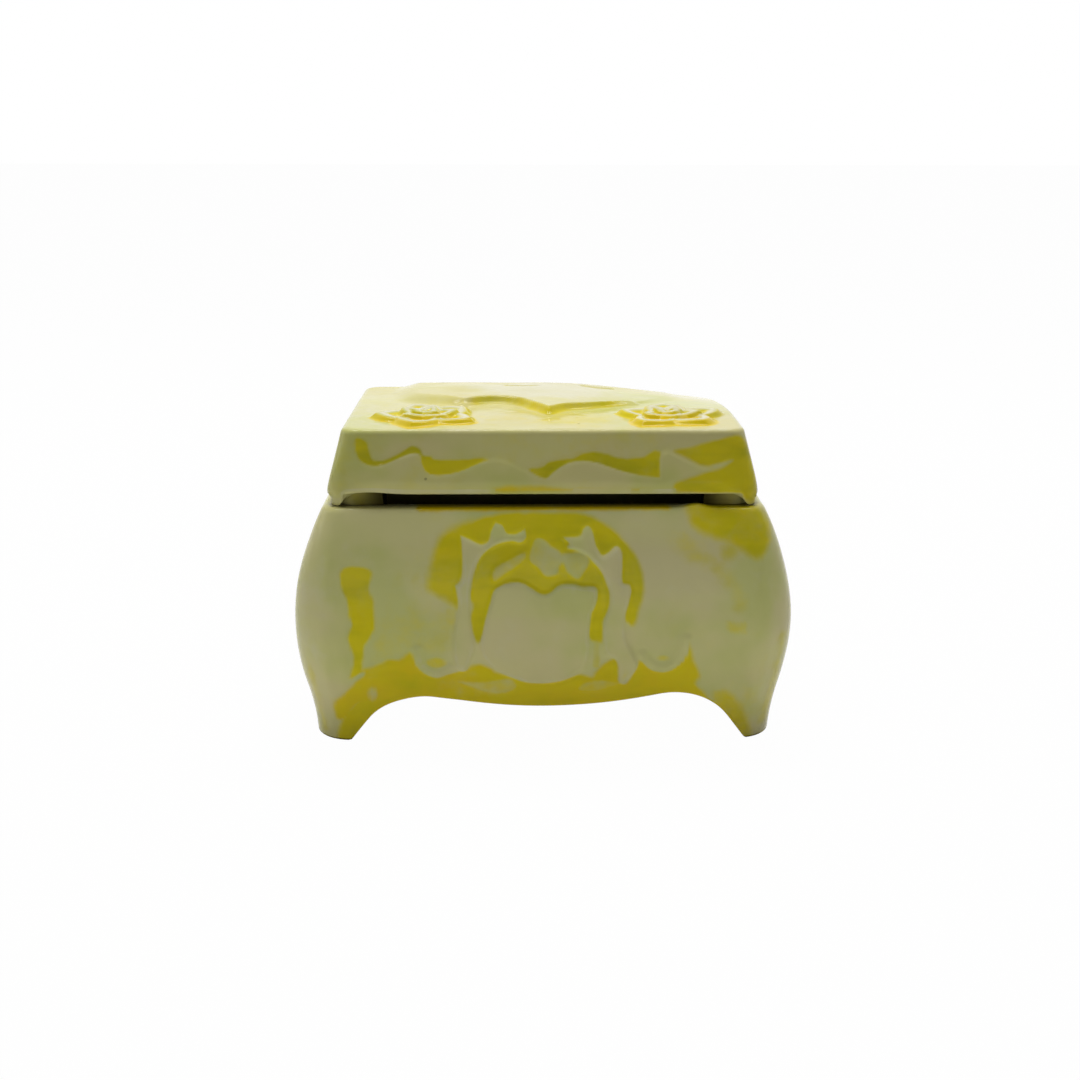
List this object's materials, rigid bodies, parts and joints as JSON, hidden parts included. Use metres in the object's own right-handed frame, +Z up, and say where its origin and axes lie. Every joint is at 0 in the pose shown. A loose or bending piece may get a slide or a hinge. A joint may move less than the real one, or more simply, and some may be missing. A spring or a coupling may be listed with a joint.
{
  "type": "footed trinket box",
  "caption": "Small bombe trinket box in glazed ceramic on bracket feet, with a raised cartouche, a scalloped apron and a loose lid with roses in relief.",
  "frame": {"origin": "centre of the footprint, on the surface that the four feet stand on", "axes": "+X along the box's length, +Z up; the front with the cartouche and the roses faces -Y"},
  "size_m": [0.09, 0.0662, 0.0582],
  "materials": {
    "glazed_box": "glossy cream glaze with pooled yellow in the hollows",
    "glazed_lid": "glossy cream glaze with pooled yellow in the hollows"
  },
  "bodies": {
    "box": {"box_body": "glazed_box"},
    "lid": {"lid": "glazed_lid"}
  },
  "joints": [
    {"name": "lid_lift", "type": "slide", "parent": "box", "child": "lid", "axis": [0, 0, 1], "range_m": [0, 0.07]}
  ]
}
